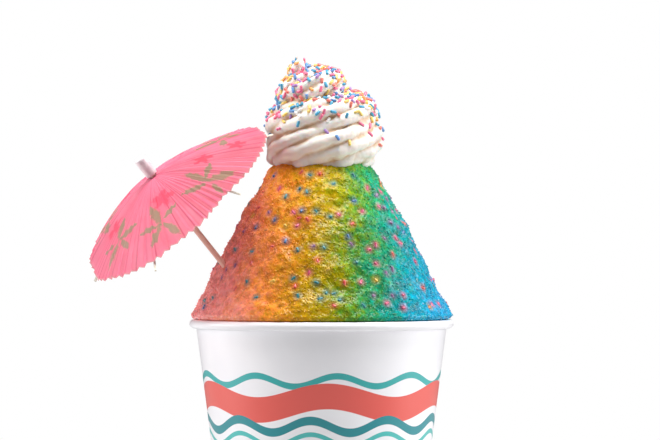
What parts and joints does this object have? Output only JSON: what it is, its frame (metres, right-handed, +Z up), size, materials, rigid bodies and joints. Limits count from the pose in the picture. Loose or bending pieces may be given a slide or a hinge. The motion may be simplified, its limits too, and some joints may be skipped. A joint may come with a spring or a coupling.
{
  "type": "shaved ice dessert",
  "caption": "Rainbow syruped shaved ice heaped over a round paper cup, with a piped whipped cream swirl, sugar sprinkles and a paper parasol on a wooden pick.",
  "frame": {"origin": "centre of the cup's base, on the surface it stands on", "axes": "+Z up along the cup's axis; -Y is the front, which the picture shows; the parasol leans out towards -X and a little to the front"},
  "size_m": [0.1347, 0.1098, 0.1978],
  "materials": {
    "cup_paper": "smooth coated white paper board with a printed band",
    "shaved_ice": "wet granular ice with syrup in rainbow order, red to blue",
    "whipped_cream": "soft satin cream",
    "parasol_paper": "thin pleated tissue with a soft leaf and flower print",
    "split_wood": "raw split wood",
    "pick_wood": "raw round wood, tinted",
    "sleeve_plastic": "cloudy thin tube"
  },
  "bodies": {
    "root": {"cup": "cup_paper", "ice": "shaved_ice", "cream": "whipped_cream", "parasol_canopy": "parasol_paper", "parasol_ribs": "split_wood", "parasol_struts": "split_wood", "parasol_pick": "pick_wood", "parasol_cap": "sleeve_plastic"}
  },
  "joints": []
}
